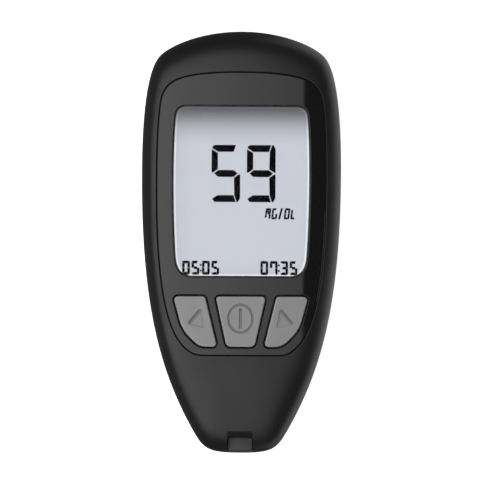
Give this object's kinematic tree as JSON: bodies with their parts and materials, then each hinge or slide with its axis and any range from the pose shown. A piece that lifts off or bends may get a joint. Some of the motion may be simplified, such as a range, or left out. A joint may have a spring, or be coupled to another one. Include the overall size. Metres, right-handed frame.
{
  "type": "blood glucose meter",
  "caption": "Egg-shaped pocket blood glucose meter with a display window, rubber keys, a strip slot in its nose and a sliding coin cell door.",
  "frame": {"origin": "middle of the flat underside, on the surface that the meter lies on", "axes": "+X to the right seen from the front, +Y towards the display end (the strip slot is at -Y), +Z out of the display"},
  "size_m": [0.0472, 0.1, 0.017],
  "materials": {
    "case": "satin black",
    "fascia": "polished black",
    "lens": "clear moulded window",
    "display": "grey-white liquid crystal display",
    "frame": "white moulding",
    "light_guide": "clear moulding",
    "keys": "matte grey silicone",
    "foam": "black foam",
    "carbon": "carbon-filled silicone",
    "board": "green solder mask",
    "chip": "moulded black",
    "steel": "nickel-plated steel",
    "gold": "gold-plated",
    "port": "dark grey moulding",
    "label": "blank silver film"
  },
  "bodies": {
    "case": {"front_shell": "case", "fascia": "fascia", "display_lens": "lens", "display_gasket": "foam", "display_front_glass": "display", "display_rear_glass": "display", "light_guide": "light_guide", "display_frame": "frame", "zebra_connector": "keys", "left_key_skirt": "keys", "power_key_skirt": "keys", "right_key_skirt": "keys", "keypad_mat": "keys", "rear_shell": "case", "rear_label": "label", "coin_cell": "steel", "cell_contact_minus": "steel", "cell_contact_plus": "steel", "main_board": "board", "processor_chip": "chip", "memory_chip": "chip", "analog_chip": "chip", "storage_capacitor": "chip", "thermistor": "chip", "clock_crystal": "steel", "strip_port": "port", "strip_contact_1": "gold", "strip_contact_2": "gold", "strip_contact_3": "gold", "strip_contact_4": "gold", "case_screw_top_left": "steel", "case_screw_top_right": "steel", "case_screw_nose_left": "steel", "case_screw_nose_right": "steel"},
    "left_key": {"left_key": "keys", "left_key_pill": "carbon"},
    "power_key": {"power_key": "keys", "power_key_pill": "carbon"},
    "right_key": {"right_key": "keys", "right_key_pill": "carbon"},
    "cell_door": {"cell_door": "case"}
  },
  "joints": [
    {"name": "left_key_press", "type": "slide", "parent": "case", "child": "left_key", "axis": [0, 0, -1], "range_m": [0, 0.0009], "stiffness_N_per_m": 600, "deforming": ["left_key_skirt"]},
    {"name": "power_key_press", "type": "slide", "parent": "case", "child": "power_key", "axis": [0, 0, -1], "range_m": [0, 0.0009], "stiffness_N_per_m": 600, "deforming": ["power_key_skirt"]},
    {"name": "right_key_press", "type": "slide", "parent": "case", "child": "right_key", "axis": [0, 0, -1], "range_m": [0, 0.0009], "stiffness_N_per_m": 600, "deforming": ["right_key_skirt"]},
    {"name": "cell_door_slide", "type": "slide", "parent": "case", "child": "cell_door", "axis": [0, 1, 0], "range_m": [0, 0.006]}
  ]
}
